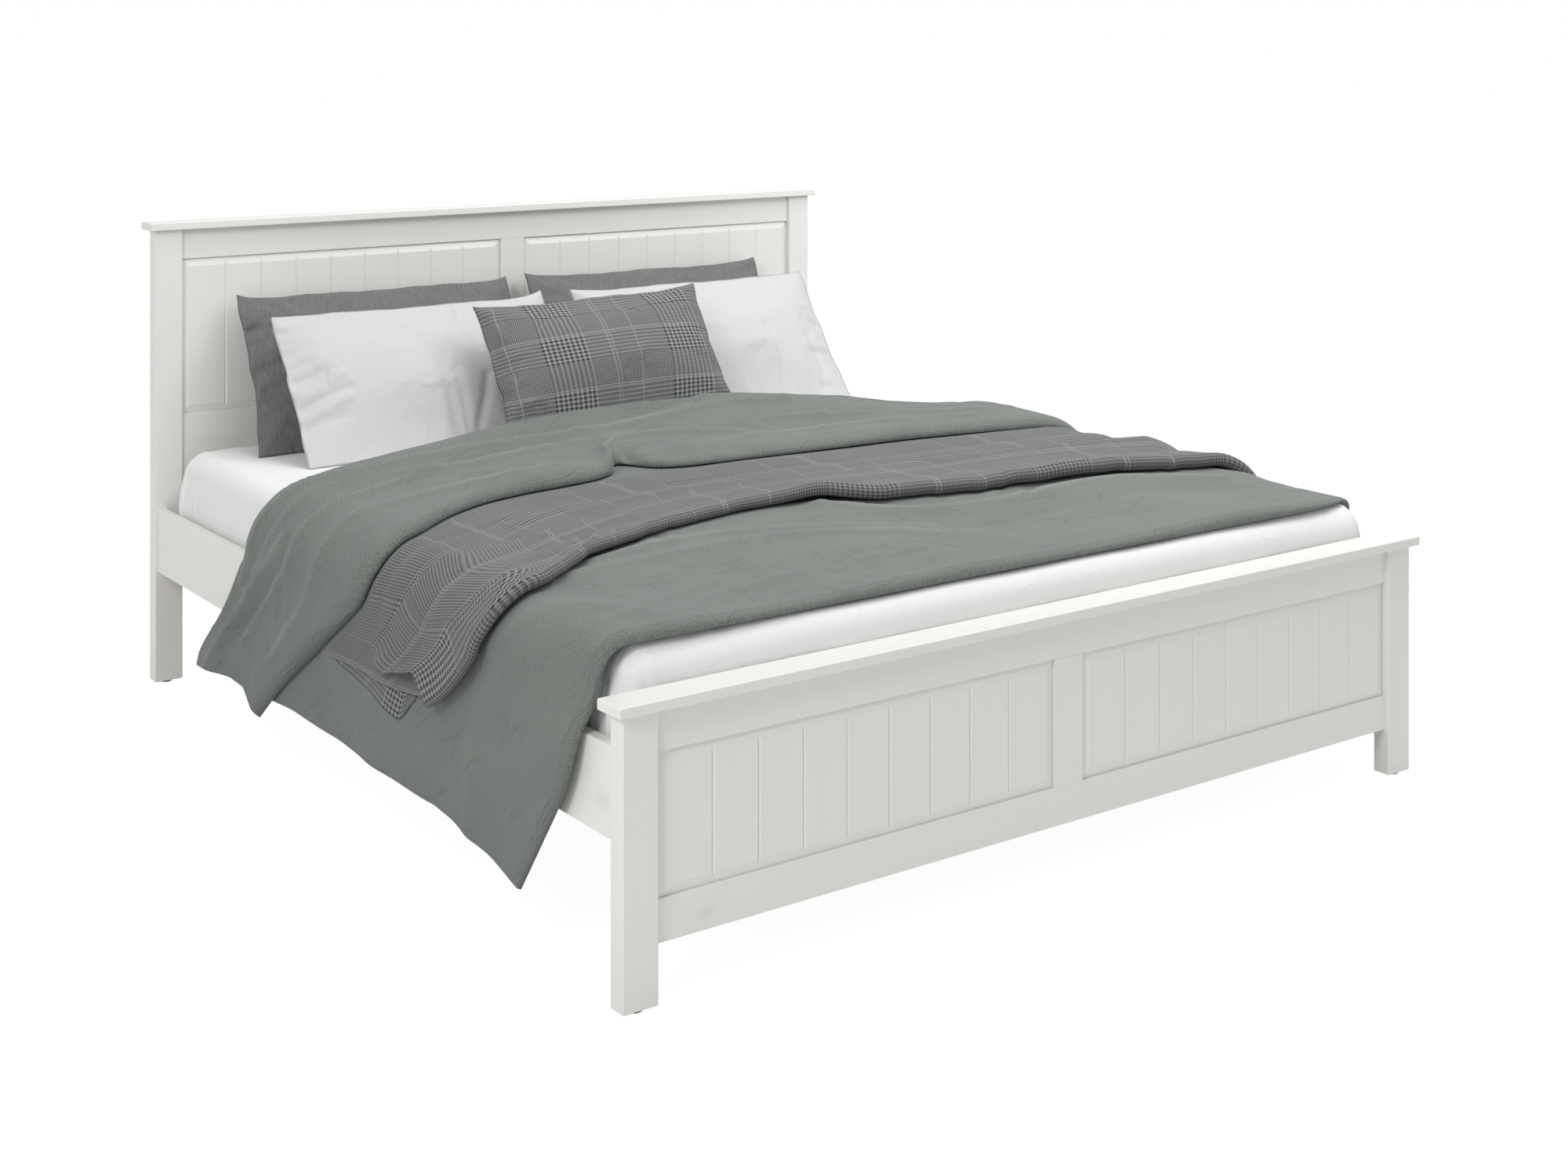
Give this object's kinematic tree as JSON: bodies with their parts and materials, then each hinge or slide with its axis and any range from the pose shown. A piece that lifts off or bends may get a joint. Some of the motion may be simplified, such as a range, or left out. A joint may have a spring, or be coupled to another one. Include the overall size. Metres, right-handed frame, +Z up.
{
  "type": "panel bed",
  "caption": "Painted double panel bed with raised, grooved head and foot panels, slatted base, mattress, pillows, cushion, duvet and folded throw.",
  "frame": {"origin": "on the floor, under the middle of the bed", "axes": "+Z up, +Y towards the head board, +X to the right as seen from the foot"},
  "size_m": [2.0182, 2.134, 1.068],
  "materials": {
    "painted_pine": "satin white paint with faint grain",
    "raw_pine": "planed, unpainted",
    "beech": "planed",
    "zinc_steel": "zinc plated",
    "glide_plastic": "moulded",
    "ticking": "knitted ticking",
    "sheet_cotton": "plain cotton",
    "duvet_cotton": "basket weave cotton",
    "checked_cloth": "fine check",
    "grey_cotton": "melange weave",
    "white_cotton": "plain cotton"
  },
  "bodies": {
    "bed": {"back_pillow_left": "grey_cotton", "back_pillow_right": "grey_cotton", "beam_hanger_foot": "zinc_steel", "beam_hanger_head": "zinc_steel", "cap_dowels": "beech", "centre_beam": "raw_pine", "centre_leg_1": "raw_pine", "centre_leg_2": "raw_pine", "corner_bracket_foot_left": "zinc_steel", "corner_bracket_foot_right": "zinc_steel", "corner_bracket_head_left": "zinc_steel", "corner_bracket_head_right": "zinc_steel", "cushion": "checked_cloth", "duvet": "duvet_cotton", "fitted_sheet": "sheet_cotton", "fitting_screws": "zinc_steel", "foot_bottom_rail": "painted_pine", "foot_cap": "painted_pine", "foot_centre_stile": "painted_pine", "foot_panel_left": "painted_pine", "foot_panel_right": "painted_pine", "foot_post_left": "painted_pine", "foot_post_right": "painted_pine", "foot_top_rail": "painted_pine", "front_pillow_left": "white_cotton", "front_pillow_right": "white_cotton", "head_cap": "painted_pine", "head_centre_stile": "painted_pine", "head_lower_board": "painted_pine", "head_middle_rail": "painted_pine", "head_panel_left": "painted_pine", "head_panel_right": "painted_pine", "head_post_left": "painted_pine", "head_post_right": "painted_pine", "head_top_rail": "painted_pine", "ledger_left": "raw_pine", "ledger_right": "raw_pine", "ledger_screws": "zinc_steel", "leg_nuts": "zinc_steel", "leg_studs": "zinc_steel", "mattress": "ticking", "post_glides": "glide_plastic", "side_rail_left": "painted_pine", "side_rail_right": "painted_pine", "slat_01": "raw_pine", "slat_02": "raw_pine", "slat_03": "raw_pine", "slat_04": "raw_pine", "slat_05": "raw_pine", "slat_06": "raw_pine", "slat_07": "raw_pine", "slat_08": "raw_pine", "slat_09": "raw_pine", "slat_10": "raw_pine", "slat_11": "raw_pine", "slat_12": "raw_pine", "slat_screws": "zinc_steel", "throw": "checked_cloth"},
    "levelling_foot_1": {"levelling_foot_1": "zinc_steel"},
    "levelling_foot_2": {"levelling_foot_2": "zinc_steel"}
  },
  "joints": [
    {"name": "levelling_foot_1_travel", "type": "slide", "parent": "bed", "child": "levelling_foot_1", "axis": [0, 0, -1], "range_m": [0, 0.012]},
    {"name": "levelling_foot_2_travel", "type": "slide", "parent": "bed", "child": "levelling_foot_2", "axis": [0, 0, -1], "range_m": [0, 0.012]}
  ]
}
